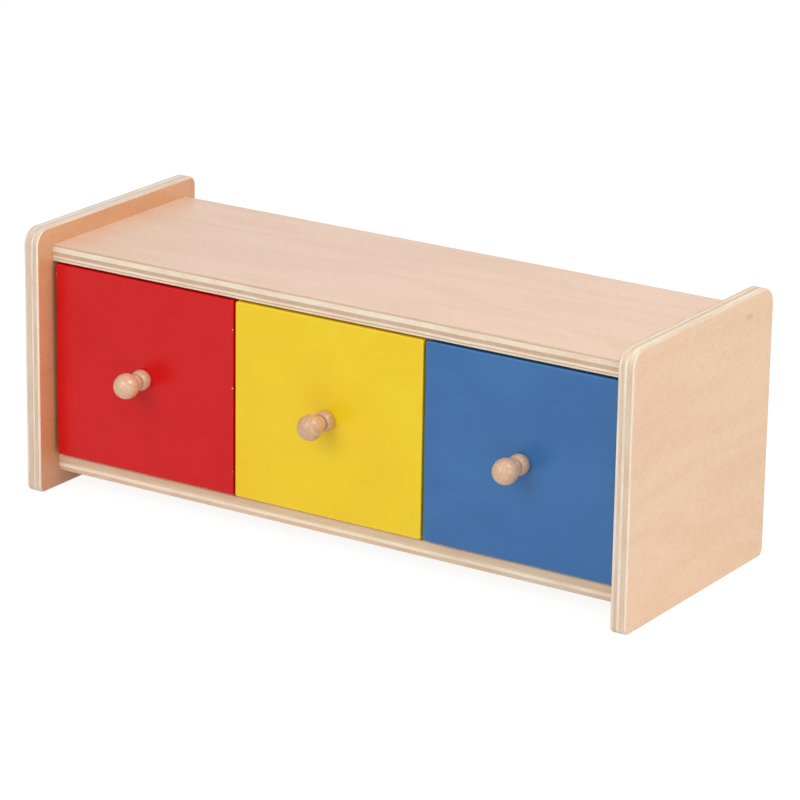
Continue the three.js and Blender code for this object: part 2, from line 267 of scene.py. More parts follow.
def makeTurnedGrain():
    values = turnedBlank
    inputs = [("Point", "Vector", None), ("Ring width", "Float", 0.0021)]
    group, start, end = newGroup("turnedGrain", inputs, ("Ring", "Fleck", "Streak", "Lathe"))
    point = start["Point"]
    shifted = vectorMaths(group, "ADD", point, values["pith"])
    reach = vectorMaths(group, "LENGTH", vectorMaths(group, "MULTIPLY", shifted, values["ringTaper"]))
    bend = maths(group, "MULTIPLY", noise(group, point, values["bendScale"]), values["bend"])
    turns = maths(group, "MULTIPLY", maths(group, "DIVIDE", reach, start["Ring width"]), math.tau)
    ring = maths(group, "SINE", maths(group, "ADD", turns, bend))
    feed(group, end["Ring"], fade(group, ring, (-1.0, 1.0)))
    fleck = noise(group, point, values["fleckScale"], detail=1.0)
    feed(group, end["Fleck"], fade(group, fleck, values["fleckLimits"]))
    streak = noise(group, point, values["streakScale"], detail=3.0, rough=0.6)
    feed(group, end["Streak"], fade(group, streak, values["streakLimits"]))
    feed(group, end["Lathe"], noise(group, point, values["latheScale"], detail=1.0))
    return group


woodFigure = makeWoodFigure()
plyEdge = makePlyEdge()
edgeWear = makeEdgeWear()
turnedGrain = makeTurnedGrain()
print("node groups made:", len(bpy.data.node_groups))


# Materials: in the lists of pairs, each mask stands beside its share of the roughness or height

def startMaterial(name):
    material = bpy.data.materials.new(name)
    material.use_nodes = True
    tree = material.node_tree
    shader = next(made for made in tree.nodes if made.type == "BSDF_PRINCIPLED")
    places = tree.nodes.new("ShaderNodeTexCoord").outputs
    return material, tree, shader, places


# The mark for wear on the arrises of boards and fronts, and for painted shade in the knobs' grooves and
# crevices
def wearAndShadeMark(tree):
    return addNode(tree, "ShaderNodeAttribute", attribute_name="arris").outputs["Fac"]


def weighted(tree, parts):
    total = 0.0
    for value, weight in parts:
        total = maths(tree, "ADD", total, maths(tree, "MULTIPLY", value, weight))
    return total


def roughened(tree, shader, parts, least):
    feed(tree, shader.inputs["Roughness"], maths(tree, "ADD", weighted(tree, parts), least))


def bumped(tree, shader, parts, strength, distance):
    values = {"Strength": strength, "Distance": distance, "Height": weighted(tree, parts)}
    feed(tree, shader.inputs["Normal"], addNode(tree, "ShaderNodeBump", values).outputs[0])


def addKnot(tree, point, face, knot):
    away = vectorMaths(tree, "SUBTRACT", point, knot["at"])
    reach = vectorMaths(tree, "LENGTH", vectorMaths(tree, "MULTIPLY", away, knot["squeeze"]))
    ragged = maths(tree, "MULTIPLY", noise(tree, point, knot["raggedScale"]), knot["ragged"])
    share = fade(tree, maths(tree, "ADD", reach, ragged), knot["limits"], high=knot["share"])
    return mixColour(tree, share, face, knot["colour"])


def makePlywood(name, look):
    material, tree, shader, places = startMaterial(name)
    point = places["Object"]
    figure = useGroup(tree, woodFigure, {"Point": point, "Lines": look["lines"]})
    layers = {f"Joint {number + 1}": joint for number, joint in enumerate(look["joints"])}
    layers.update({"Point": point, "Facing": places["Normal"]})
    layers.update({"Thickness": look["thick"], "Turned": look["turned"]})
    plies = useGroup(tree, plyEdge, layers)
    wear = useGroup(tree, edgeWear, {"Arris": wearAndShadeMark(tree), "Point": point})
    shares = zip(("Streak", "Figure", "Blotch", "Mottle"), look["shares"])
    tone = weighted(tree, [(figure[key], share) for key, share in shares])
    face = mixColour(tree, tone, look["pale"], look["deep"])
    # A look with outer colours keeps them on the outer face, so its own pale and deep colours paint shade and
    # reflected light on the inner face only
    if "outer" in look:
        outside = maths(tree, "GREATER_THAN", splitPoint(tree, point)["Z"], 0.0)
        face = mixColour(tree, outside, face, mixColour(tree, tone, *look["outer"]))
    face = tint(tree, face, figure["Pore"], look["poreShare"], look["pore"])
    if "knot" in look:
        face = addKnot(tree, point, face, look["knot"])
    fibre = noise(tree, point, look["fibreScale"], rough=0.6)
    speck = noise(tree, point, look["speckScale"], detail=1.0)
    long = mixColour(tree, fade(tree, fibre, look["fibreLimits"]), look["long"], look["longDeep"])
    cut = mixColour(tree, fade(tree, speck, look["speckLimits"]), look["end"], look["endDeep"])
    edge = mixColour(tree, plies["End grain"], long, cut)
    warmth = fade(tree, plies["Ply tone"], look["warmLimits"], high=look["warmShare"])
    edge = mixColour(tree, warmth, edge, look["warm"], "MULTIPLY")
    edge = tint(tree, edge, plies["Glue"], look["glueShare"], look["glue"])
    colour = mixColour(tree, plies["Edge"], face, edge)
    colour = tint(tree, colour, wear["Rub"], look["rub"], look["rubbed"])
    feed(tree, shader.inputs["Base Color"], colour)
    relief = look["relief"]
    dull = [(plies["Edge"], 0.12), (figure["Streak"], 0.4 * relief), (figure["Pore"], 0.45 * relief)]
    dull.append((wear["Rub"], -0.1))
    roughened(tree, shader, dull, look["rough"])
    shader.inputs["Specular IOR Level"].default_value = look["shine"]
    heights = [(figure["Streak"], 0.35), (figure["Pore"], -0.6), (fibre, 0.3), (plies["End grain"], -0.4)]
    bumped(tree, shader, heights, relief, look["bumpDepth"])
    return material


def makePaint(name, look):
    material, tree, shader, places = startMaterial(name)
    point = places["Object"]
    streak = useGroup(tree, woodFigure, {"Point": point})["Streak"]
    chipping = {"Chips": look["chips"], "Chip size": look["chipSize"]}
    wear = useGroup(tree, edgeWear, {"Arris": wearAndShadeMark(tree), "Point": point, **chipping})
    cloud = noise(tree, point, look["cloudScale"], detail=3.0, rough=0.55)
    cloud = fade(tree, cloud, look["cloudLimits"])
    colour = mixColour(tree, cloud, look["colour"], look["shade"])
    colour = tint(tree, colour, streak, look["streakShare"], look["thin"])
    colour = tint(tree, colour, wear["Rub"], look["rubShare"], look["thin"])
    colour = mixColour(tree, wear["Chip"], colour, look["ground"])
    feed(tree, shader.inputs["Base Color"], colour)
    peel = noise(tree, point, look["peelScale"])
    roughened(tree, shader, [(cloud, 0.05), (peel, 0.05), (wear["Chip"], 0.3)], look["rough"])
    shader.inputs["Specular IOR Level"].default_value = look["shine"]
    heights = [(peel, 0.5), (streak, 0.35), (wear["Chip"], -1.6)]
    bumped(tree, shader, heights, look["relief"], look["bumpDepth"])
    return material


def makeBeech(name, look):
    material, tree, shader, places = startMaterial(name)
    point = places["Object"]
    grain = useGroup(tree, turnedGrain, {"Point": point, "Ring width": look["ring"]})
    tone = weighted(tree, [(grain["Ring"], look["ringShare"]), (grain["Streak"], look["streakShare"])])
    colour = mixColour(tree, tone, look["pale"], look["deep"])
    colour = tint(tree, colour, grain["Fleck"], look["fleckShare"], look["fleck"])
    warmth = fade(tree, noise(tree, point, look["warmScale"]), look["warmLimits"], high=look["warmShare"])
    colour = mixColour(tree, warmth, colour, look["warm"], "MULTIPLY")
    # Painted shade in the knob's groove and crevices, where its mark is high
    colour = tint(tree, colour, wearAndShadeMark(tree), look["paintedShadeShare"], look["burnt"])
    feed(tree, shader.inputs["Base Color"], colour)
    roughened(tree, shader, [(grain["Fleck"], 0.1), (grain["Streak"], 0.08)], look["rough"])
    shader.inputs["Coat Weight"].default_value = look["coat"]
    shader.inputs["Coat Roughness"].default_value = look["coatRough"]
    heights = [(grain["Fleck"], -0.6), (grain["Streak"], 0.3), (grain["Lathe"], 0.35)]
    bumped(tree, shader, heights, look["relief"], look["bumpDepth"])
    return material


def makeSteel(name, look):
    material, tree, shader, places = startMaterial(name)
    point = places["Object"]
    drawn = noise(tree, point, look["lineScale"], rough=0.6)
    stain = noise(tree, point, look["stainScale"], detail=3.0)
    colour = mixColour(tree, fade(tree, stain, look["stainLimits"]), look["bright"], look["dull"])
    feed(tree, shader.inputs["Base Color"], colour)
    shader.inputs["Metallic"].default_value = 1.0
    roughened(tree, shader, [(drawn, 0.18), (stain, 0.12)], look["rough"])
    bumped(tree, shader, [(drawn, 1.0)], look["relief"], look["bumpDepth"])
    return material


panelPlyLook = {
    "thick": 0.009,
    "turned": 0.0,
    "joints": (0.13, 0.32, 0.49, 0.79, 0.92),
    "lines": 30.0,
    "shares": (0.13, 0.24, 0.4, 0.42),
    "pale": srgb(243, 209, 179),
    "deep": srgb(230, 192, 157),
    "pore": srgb(205, 160, 124),
    "poreShare": 0.3,
    "long": srgb(250, 237, 218),
    "longDeep": srgb(242, 223, 200),
    "fibreScale": (420.0, 420.0, 2600.0),
    "fibreLimits": (0.3, 0.7),
    "end": srgb(235, 214, 192),
    "endDeep": srgb(218, 192, 166),
    "speckScale": 2600.0,
    "speckLimits": (0.35, 0.7),
    "warm": srgb(242, 226, 216),
    "warmLimits": (0.35, 0.68),
    "warmShare": 0.55,
    "glue": srgb(188, 152, 122),
    "glueShare": 0.42,
    "rubbed": srgb(250, 232, 210),
    "rub": 0.45,
    "rough": 0.5,
    "shine": 0.4,
    "relief": 0.18,
    "bumpDepth": 0.00012,
}
# The left panel's pale and deep colours are darker and more orange than the right panel's: painted shade and
# painted red light from the red front on the inner face. The outer face keeps the plain colours.
leftPanelInnerShadePlyLook = {
    **panelPlyLook,
    "shares": (0.05, 0.3, 0.5, 0.42),
    "pale": srgb(229, 176, 135),
    "deep": srgb(216, 157, 112),
    "glue": srgb(128, 100, 76),
    "rough": 0.24,
    "shine": 0.5,
    "relief": 0.05,
    "outer": (panelPlyLook["pale"], panelPlyLook["deep"]),
}
knotLook = {
    "at": (0.0452, 0.062, 0.0045),
    "squeeze": (0.5, 1.4, 1.0),
    "raggedScale": 420.0,
    "ragged": 0.0012,
    "limits": (0.0034, 0.0012),
    "share": 0.5,
    "colour": srgb(205, 160, 128),
}
rightPanelPlyLook = {**panelPlyLook, "joints": (0.22, 0.395, 0.59, 0.88, 0.985), "knot": knotLook}
boardPlyLook = {
    **panelPlyLook,
    "turned": 1.0,
    "joints": (0.15, 0.205, 0.365, 0.575, 0.9),
    "shares": (0.22, 0.3, 0.3, 0.44),
    "pale": srgb(244, 211, 187),
    "deep": srgb(231, 193, 165),
    "rough": 0.32,
    "shine": 0.5,
    "relief": 0.12,
    "long": srgb(249, 236, 215),
    "longDeep": srgb(241, 223, 198),
    "end": srgb(220, 191, 165),
    "endDeep": srgb(197, 165, 139),
}
# The bottom board is the same plywood as the top board, with its plies in other places; its lighter edge
# colours are painted light on its front edge, which lies in shade under the fronts.
bottomLightenedPlyLook = {
    **boardPlyLook,
    "joints": (-1.0, 0.325, 0.335, 0.5, 0.75),
    "long": srgb(253, 240, 220),
    "longDeep": srgb(249, 231, 207),
    "end": srgb(238, 214, 184),
    "endDeep": srgb(220, 192, 161),
}
dividerPlyLook = {**panelPlyLook, "thick": 0.006, "joints": (0.16, 0.36, 0.62, 0.84, 1.2)}
backPlyLook = {**panelPlyLook, "thick": 0.004, "joints": (0.28, 0.7, 1.2, 1.4, 1.6), "turned": 1.0}
binPlyLook = {**panelPlyLook, "thick": 0.006, "joints": (0.18, 0.4, 0.6, 0.82, 1.2), "turned": 1.0}
binFloorPlyLook = {**backPlyLook, "turned": 0.0}
paintLook = {
    "chips": 0.5,
    "chipSize": 0.0035,
    "ground": srgb(238, 214, 190),
    "cloudScale": 26.0,
    "cloudLimits": (0.3, 0.7),
    "streakShare": 0.16,
    "rubShare": 0.75,
    "rough": 0.27,
    "peelScale": 780.0,
    "relief": 0.16,
    "bumpDepth": 0.0001,
}
paintColours = {
    "red": {
        "colour": srgb(214, 8, 12),
        "shade": srgb(208, 5, 9),
        "thin": srgb(216, 24, 27),
        "shine": 0.28,
        "chips": 0.64,
    },
    "yellow": {
        "colour": srgb(247, 210, 20),
        "shade": srgb(242, 203, 14),
        "thin": srgb(247, 218, 66),
        "shine": 0.38,
    },
    "blue": {
        "colour": srgb(51, 109, 169),
        "shade": srgb(45, 102, 162),
        "thin": srgb(72, 127, 182),
        "shine": 0.43,
    },
}
beechLook = {
    "ring": 0.0021,
    "pale": srgb(228, 190, 155),
    "deep": srgb(204, 161, 122),
    "ringShare": 0.32,
    "streakShare": 0.5,
    "fleck": srgb(176, 128, 90),
    "fleckShare": 0.42,
    "warm": srgb(246, 222, 200),
    "warmScale": 190.0,
    "warmLimits": (0.4, 0.7),
    "warmShare": 0.4,
    # Where a knob's mark is high, this colour paints shade into the groove and the crevices by the bead and
    # ring
    "burnt": srgb(158, 92, 46),
    "paintedShadeShare": 0.85,
    "rough": 0.42,
    "coat": 0.5,
    "coatRough": 0.14,
    "relief": 0.15,
    "bumpDepth": 0.0001,
}
knobTones = {
    # The last value sets how strongly each knob's groove shade is painted
    "red": {"pale": srgb(229, 192, 159), "deep": srgb(205, 164, 127), "paintedShadeShare": 0.75},
    "yellow": {"pale": srgb(220, 179, 143), "deep": srgb(193, 148, 108), "paintedShadeShare": 1.0},
    "blue": {"pale": srgb(223, 187, 156), "deep": srgb(198, 157, 123), "paintedShadeShare": 0.75},
}
steelLook = {
    "bright": srgb(206, 207, 210),
    "dull": srgb(168, 168, 168),
    "stainScale": 420.0,
    "stainLimits": (0.4, 0.75),
    "lineScale": (60.0, 1800.0, 1800.0),
    "rough": 0.2,
    "relief": 0.12,
    "bumpDepth": 0.00005,
}
panelPlywoods = {
    "left": makePlywood("leftPanelInnerShadePlywood", leftPanelInnerShadePlyLook),
    "right": makePlywood("rightPanelPlywood", rightPanelPlyLook),
}
boardPlywoods = {
    "top": makePlywood("topPlywood", boardPlyLook),
    "bottom": makePlywood("bottomLightenedPlywood", bottomLightenedPlyLook),
}
dividerPlywood = makePlywood("dividerPlywood", dividerPlyLook)
backPlywood = makePlywood("backPlywood", backPlyLook)
binPlywood = makePlywood("binPlywood", binPlyLook)
binFloorPlywood = makePlywood("binFloorPlywood", binFloorPlyLook)
paints = {}
knobBeeches = {}
for colour in binColours:
    paints[colour] = makePaint(colour + "Paint", {**paintLook, **paintColours[colour]})
    knobBeeches[colour] = makeBeech(colour + "KnobBeech", {**beechLook, **knobTones[colour]})
plainBeech = makeBeech("plainBeech", {**beechLook, "coat": 0.0, "rough": 0.5})
pinSteel = makeSteel("pinSteel", steelLook)
screwSteel = makeSteel("screwSteel", {**steelLook, "lineScale": (900.0, 900.0, 900.0), "rough": 0.26})
print("materials made:", len(bpy.data.materials))


# Shapes: outlines are lists of flat points, going round anticlockwise

overcut = 0.002  # how far a cutter stands out of the face that it cuts


def arcPoints(centre, radius, start, end, steps):
    angles = [math.radians(start + (end - start) * step / steps) for step in range(steps + 1)]
    return [Vector((centre[0] + radius * math.cos(a), centre[1] + radius * math.sin(a))) for a in angles]


def roundedOutline(low, high, radii, steps):
    lowerLeft, lowerRight, upperRight, upperLeft = radii
    points = arcPoints((low[0] + lowerLeft, low[1] + lowerLeft), lowerLeft, 180, 270, steps)
    points += arcPoints((high[0] - lowerRight, low[1] + lowerRight), lowerRight, 270, 360, steps)
    points += arcPoints((high[0] - upperRight, high[1] - upperRight), upperRight, 0, 90, steps)
    points += arcPoints((low[0] + upperLeft, high[1] - upperLeft), upperLeft, 90, 180, steps)
    return points


def insetOutline(points, distance):
    moved = []
    count = len(points)
    for index, point in enumerate(points):
        before = (point - points[index - 1]).normalized()
        after = (points[(index + 1) % count] - point).normalized()
        outBefore = Vector((before.y, -before.x))
        outAfter = Vector((after.y, -after.x))
        mitre = (outBefore + outAfter) / (1 + outBefore.dot(outAfter))
        moved.append(point - mitre * distance)
    return moved


# A board: the outline swept from low to high with rounded arrises, whose middle is marked for the wear
def sweep(outline, low, high, arris, axes, steps=6):
    shape = bmesh.new()
    mark = shape.verts.layers.float.new("arris")
    rings = []
    if arris > 0:
        for step in range(steps + 1):
            angle = math.pi / 2 * step / steps
            inset = arris * (1 - math.sin(angle))
            rings.append((inset, low + arris * (1 - math.cos(angle)), math.sin(2 * angle)))
        for inset, height, share in list(reversed(rings)):
            rings.append((inset, low + high - height, share))
    else:
        rings = [(0.0, low, 0.0), (0.0, high, 0.0)]
    made = []
    for inset, height, share in rings:
        ring = []
        for flat in insetOutline(outline, inset):
            vert = shape.verts.new(axes[0] * flat.x + axes[1] * flat.y + axes[2] * height)
            vert[mark] = share
            ring.append(vert)
        made.append(ring)
    for first, second in zip(made, made[1:]):
        for index in range(len(first)):
            shape.faces.new((first[index - 1], first[index], second[index], second[index - 1]))
    shape.faces.new(list(reversed(made[0])))
    shape.faces.new(made[-1])
    return shape


# A turned piece about the line through centre along axis. Points are radius, height and a mark for painted
# shade in crevices.
def turn(profile, centre, axis, sides):
    shape = bmesh.new()
    mark = shape.verts.layers.float.new("arris")
    first = axis.orthogonal().normalized()
    second = axis.cross(first)
    rings = []
    for radius, height, *share in profile:
        turns = [2 * math.pi * side / sides for side in range(sides if radius > 0 else 1)]
        ring = []
        for angle in turns:
            out = first * math.cos(angle) + second * math.sin(angle)
            vert = shape.verts.new(centre + out * radius + axis * height)
            vert[mark] = share[0] if share else 0.0
            ring.append(vert)
        rings.append(ring)
    for lower, upper in zip(rings, rings[1:]):
        for side in range(sides):
            corners = [lower[side - 1 if len(lower) > 1 else 0], lower[side if len(lower) > 1 else 0]]
            corners += [upper[side if len(upper) > 1 else 0], upper[side - 1 if len(upper) > 1 else 0]]
            shape.faces.new(list(dict.fromkeys(corners)))
    return shape


def addBlock(shape, low, high):
    sides = list(zip(low, high))
    corners = [(x, y, z) for x in sides[0] for y in sides[1] for z in sides[2]]
    verts = [shape.verts.new(corner) for corner in corners]
    for face in ((0, 1, 3, 2), (4, 6, 7, 5), (0, 4, 5, 1), (2, 3, 7, 6), (0, 2, 6, 4), (1, 5, 7, 3)):
        shape.faces.new([verts[index] for index in face])


def addBar(shape, low, high, y, z, radius, sides=32):
    ends = []
    for x in (low, high):
        turns = [2 * math.pi * side / sides for side in range(sides)]
        ends.append([shape.verts.new((x, y + radius * math.cos(a), z + radius * math.sin(a))) for a in turns])
    for side in range(sides):
        shape.faces.new((ends[0][side - 1], ends[0][side], ends[1][side], ends[1][side - 1]))
    shape.faces.new(list(reversed(ends[0])))
    shape.faces.new(ends[1])


# From just outside a face to the depth of a cut. The sign is the way into the board.
def cutSpan(face, sign, depth):
    return sorted((face - sign * overcut, face + sign * depth))


def toMesh(name, shape):
    bmesh.ops.recalc_face_normals(shape, faces=shape.faces)
    mesh = bpy.data.meshes.new(name)
    shape.to_mesh(mesh)
    shape.free()
    return mesh


# Places a shape drawn in the row frame. Its own X runs along the grain and its own Z through the board.
# Edges sharper than smooth, in degrees, stay sharp.
def place(name, shape, material, body, middle, grain, across, cutters=(), smooth=38):
    mesh = toMesh(name, shape)
    piece = bpy.data.objects.new(name, mesh)
    scene.collection.objects.link(piece)
    tools = []
    for cutter in cutters:
        tool = bpy.data.objects.new(name + "Tool", toMesh(name + "Tool", cutter))
        scene.collection.objects.link(tool)
        tools.append(tool)
        cut = piece.modifiers.new("cut", "BOOLEAN")
        cut.operation = "DIFFERENCE"
        cut.solver = "EXACT"
        cut.object = tool
    if tools:
        done = piece.evaluated_get(bpy.context.evaluated_depsgraph_get())
        piece.data = bpy.data.meshes.new_from_object(done)
        piece.modifiers.clear()
        bpy.data.meshes.remove(mesh)
        mesh = piece.data
    for tool in tools:
        spare = tool.data
        bpy.data.objects.remove(tool)
        bpy.data.meshes.remove(spare)
    own = Matrix((grain, across, grain.cross(across))).transposed().to_4x4()
    own.translation = middle
    mesh.transform(own.inverted())
    piece.matrix_world = own
    mesh.name = name
    mesh.materials.clear()
    mesh.materials.append(material)
    mesh.shade_smooth()
    mesh.set_sharp_from_angle(angle=math.radians(smooth))
    even = piece.modifiers.new("evenNormals", "WEIGHTED_NORMAL")
    even.keep_sharp = True
    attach(piece, body)
    return piece


def boxOf(node):
    low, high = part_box(node)
    return low, high, (low + high) / 2


# The case

endPanel = {
    "footRadius": 0.004,
    "frontTopRadius": 0.009,
    "rearTopRadius": {"left": 0.005, "right": 0.01},
    "cornerSteps": 14,
    "arris": 0.0012,
    "dowelRadius": 0.00255,
    "dowelDepth": 0.0063,
    "pinRadius": 0.00205,
    "pinDepth": 0.0063,
    "grooveDepth": 0.003,
    "play": 0.0001,
    "grainShift": {"left": (0.31, 0.12), "right": (0.0, 0.0)},
}
caseAxes = (towardsBack, upwards, alongBox)
boardDowels = [f"{row}_{{}}_{end}_dowel" for row in ("top", "bottom") for end in ("front", "rear")]


def buildEndPanel(side, sign):
    node = f"{side}_end_panel"
    low, high, middle = boxOf(node)
    values = endPanel
    foot = values["footRadius"]
    radii = (foot, foot, values["rearTopRadius"][side], values["frontTopRadius"])
    outline = roundedOutline(low.yz, high.yz, radii, values["cornerSteps"])
    shape = sweep(outline, low.x, high.x, values["arris"], caseAxes)
    inner = low.x if sign > 0 else high.x
    cutter = bmesh.new()
    for dowel in boardDowels:
        spot = boxOf(dowel.format(side))[2]
        addBar(cutter, *cutSpan(inner, sign, values["dowelDepth"]), spot.y, spot.z, values["dowelRadius"])
    spot = boxOf(f"{side}_end_pin")[2]
    addBar(cutter, *cutSpan(inner, sign, values["pinDepth"]), spot.y, spot.z, values["pinRadius"])
    backLow, backHigh, _ = boxOf("back_panel")
    play = values["play"]
    ends = cutSpan(inner, sign, values["grooveDepth"])
    grooveLow = (ends[0], backLow.y - play, backLow.z - play)
    grooveHigh = (ends[1], backHigh.y + play, backHigh.z + play)
    addBlock(cutter, grooveLow, grooveHigh)
    grain = towardsBack * sign
    shift = values["grainShift"][side]
    spot = middle + grain * shift[0] + upwards * shift[1]
    plywood = panelPlywoods[side]
    piece = place(f"{side}EndPanel", shape, plywood, "case", spot, grain, upwards, [cutter])
    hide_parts(node)


caseBoard = {
    "arris": 0.001,
    "arrisSteps": 8,
    "dowelRadius": 0.00255,
    "dowelDepth": 0.0123,
    "play": 0.0001,
    "grooveDepth": 0.003,
    "dadoDepth": 0.0025,
    "dadoStop": 0.0003,
    "grainShift": {"top": (0.07, 0.02), "bottom": (0.52, 0.33)},
}


def buildBoard(row, upSign):
    node = f"{row}_board"
    low, high, middle = boxOf(node)
    values = caseBoard
    outline = roundedOutline(low.yz, high.yz, [values["arris"]] * 4, values["arrisSteps"])
    shape = sweep(outline, low.x, high.x, 0.0, caseAxes)
    face = low.z if upSign > 0 else high.z
    play = values["play"]
    cutter = bmesh.new()
    for side, sign in sideSigns.items():
        outer = high.x if sign > 0 else low.x
        ends = cutSpan(outer, -sign, values["dowelDepth"])
        for end in ("front", "rear"):
            spot = boxOf(f"{row}_{side}_{end}_dowel")[2]
            addBar(cutter, *ends, spot.y, spot.z, values["dowelRadius"])
        dividerLow, dividerHigh, _ = boxOf(f"{side}_divider")
        start = dividerLow.y - values["dadoStop"]
        if upSign < 0:
            start = pivots["red_bin"].y - dividerFootReach(side, face) - values["dadoStop"]
        heights = cutSpan(face, upSign, values["dadoDepth"])
        dadoLow = (dividerLow.x - play, start, heights[0])
        dadoHigh = (dividerHigh.x + play, dividerHigh.y + play / 2, heights[1])
        addBlock(cutter, dadoLow, dadoHigh)
    backLow, backHigh, _ = boxOf("back_panel")
    heights = cutSpan(face, upSign, values["grooveDepth"])
    backGroove = bmesh.new()
    grooveLow = (low.x - overcut, backLow.y - play, heights[0])
    grooveHigh = (high.x + overcut, backHigh.y + play, heights[1])
    addBlock(backGroove, grooveLow, grooveHigh)
    across = towardsBack * upSign
    shift = values["grainShift"][row]
    spot = middle + alongBox * shift[0] + across * shift[1]
    tools = [cutter, backGroove]
    plywood = boardPlywoods[row]
    piece = place(f"{row}Board", shape, plywood, "case", spot, alongBox, across, tools)
    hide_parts(node)


divider = {
    "arris": 0.0004,
    "arrisSteps": 3,
    "pinRadius": 0.00205,
    "slope": 45,
    "noseSteps": 12,
    "grainShift": (0.21, 0.05),
}


# How far the divider's sloping front edge stands before the pivot at a height
def dividerFootReach(side, height):
    pivot = pivots["red_bin"]
    tongue = pivot.y - boxOf(f"{side}_divider")[0].y
    slope = math.radians(divider["slope"])
    return tongue * math.cos(slope) - (pivot.z - tongue * math.sin(slope) - height) * math.tan(slope)


def buildDivider(side):
    node = f"{side}_divider"
    low, high, middle = boxOf(node)
    pivot = pivots["red_bin"]
    values = divider
    foot = pivot.y - dividerFootReach(side, low.z)
    outline = [Vector((low.y, high.z))]
    outline += arcPoints((pivot.y, pivot.z), pivot.y - low.y, 180, 180 + values["slope"], values["noseSteps"])
    outline += [Vector((foot, low.z)), Vector((high.y, low.z)), Vector((high.y, high.z))]
    shape = sweep(outline, low.x, high.x, values["arris"], caseAxes, values["arrisSteps"])
    cutter = bmesh.new()
    addBar(cutter, low.x - overcut, high.x + overcut, pivot.y, pivot.z, values["pinRadius"])
    shift = values["grainShift"]
    spot = middle + towardsBack * shift[0] * sideSigns[side] + upwards * shift[1]
    name = f"{side}Divider"
    piece = place(name, shape, dividerPlywood, "case", spot, towardsBack, upwards, [cutter])
    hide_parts(node)


backPanel = {"arris": 0.0004, "arrisSteps": 3, "cornerRadius": 0.0015, "cornerSteps": 5}


def buildBackPanel():
    low, high, middle = boxOf("back_panel")
    values = backPanel
    outline = roundedOutline(low.xz, high.xz, [values["cornerRadius"]] * 4, values["cornerSteps"])
    axes = (alongBox, upwards, towardsBack)
    shape = sweep(outline, low.y, high.y, values["arris"], axes, values["arrisSteps"])
    piece = place("backPanel", shape, backPlywood, "case", middle, alongBox, upwards)
    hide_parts("back_panel")


pin = {"chamfer": 0.0003, "sides": 40, "smooth": 30}
spacer = {"hole": 0.00214, "arris": 0.0005, "arrisSteps": 5, "sides": 64, "weld": 1e-6}


def buildPin(node):
    low, high, middle = boxOf(node)
    radius = (high.z - low.z) / 2
    length = high.x - low.x
    bevel = pin["chamfer"]
    profile = [(0, 0), (radius - bevel, 0), (radius, bevel)]
    profile += [(radius, length - bevel), (radius - bevel, length), (0, length)]
    shape = turn(profile, Vector((low.x, middle.y, middle.z)), alongBox, pin["sides"])
    first, *others = node.split("_")
    name = first + "".join(word.title() for word in others)
    smooth = pin["smooth"]
    piece = place(name, shape, pinSteel, "case", middle, alongBox, towardsBack, smooth=smooth)
    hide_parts(node)


def buildSpacer(side):
    node = f"{side}_end_spacer"
    low, high, middle = boxOf(node)
    values = spacer
    length = high.x - low.x
    radius = (high.z - low.z) / 2
    arris = values["arris"]
    outer = arcPoints((radius - arris, arris), arris, -90, 0, values["arrisSteps"])
    outer += arcPoints((radius - arris, length - arris), arris, 0, 90, values["arrisSteps"])
    profile = [(values["hole"], 0)] + [(point.x, point.y) for point in outer]
    profile += [(values["hole"], length), (values["hole"], 0)]
    shape = turn(profile, Vector((low.x, middle.y, middle.z)), alongBox, values["sides"])
    bmesh.ops.remove_doubles(shape, verts=shape.verts, dist=values["weld"])
    piece = place(f"{side}EndSpacer", shape, plainBeech, "case", middle, towardsBack, upwards)
    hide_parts(node)


for sideName, sideSign in sideSigns.items():
    buildEndPanel(sideName, sideSign)
    buildDivider(sideName)
    buildSpacer(sideName)
    buildPin(f"{sideName}_end_pin")
    buildPin(f"{sideName}_divider_pin")
buildBoard("top", 1)
buildBoard("bottom", -1)
buildBackPanel()
print("case built")


# The bins

binFront = {
    "cornerRadius": 0.0012,
    "cornerSteps": 6,
    "arris": 0.0007,
    "tongueInset": 0.008,
    "play": 0.0001,
    "holeRadius": 0.0019,
    "holeDepth": 0.007,
    "holeSides": 32,
    "headRadius": 0.00365,
    "headRim": 0.0003,
    "headDepth": 0.0021,
    "grainShift": {"red": (0.0, 0.0), "yellow": (0.23, 0.11), "blue": (0.47, 0.05)},
}


def buildFront(colour):
    node = f"{colour}_front"
    low, high, middle = boxOf(node)
    values = binFront
    outline = roundedOutline(low.xz, high.xz, [values["cornerRadius"]] * 4, values["cornerSteps"])
    shape = sweep(outline, low.y, high.y, values["arris"], (alongBox, upwards, towardsBack))
    cutter = bmesh.new()
    play = values["play"]
    for side in sideSigns:
        sideLow, sideHigh, _ = boxOf(f"{colour}_bin_{side}_side")
        tongueLow = low.z + values["tongueInset"] - play
        tongueHigh = sideHigh.z - values["tongueInset"] + play
        housingLow = (sideLow.x - play, sideLow.y - play, tongueLow)
        housingHigh = (sideHigh.x + play, high.y + overcut, tongueHigh)
        addBlock(cutter, housingLow, housingHigh)
    head, hole, deep = values["headRadius"], values["holeRadius"], values["holeDepth"]
    profile = [(0, -overcut), (head, -overcut), (head, values["headRim"])]
    profile += [(hole, values["headDepth"]), (hole, deep), (0, deep)]
    bore = turn(profile, Vector((middle.x, high.y, middle.z)), -towardsBack, values["holeSides"])
    shift = values["grainShift"][colour]
    spot = middle + alongBox * shift[0] + upwards * shift[1]
    name, paint, tools = f"{colour}Front", paints[colour], [cutter, bore]
    body, slot = f"{colour}_bin", f"{colour}_paint"
    piece = place(name, shape, paint, body, spot, alongBox, upwards, tools)
    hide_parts(node)


binSide = {
    "arris": 0.0004,
    "arrisSteps": 3,
    "arcSteps": 12,
    "rearDrop": 0.0012,
    "glueLine": 0.00005,
    "pinRadius": 0.00214,
    "groove": 0.0025,
    "grooveStart": 0.001,
    "grainShift": 0.17,
}


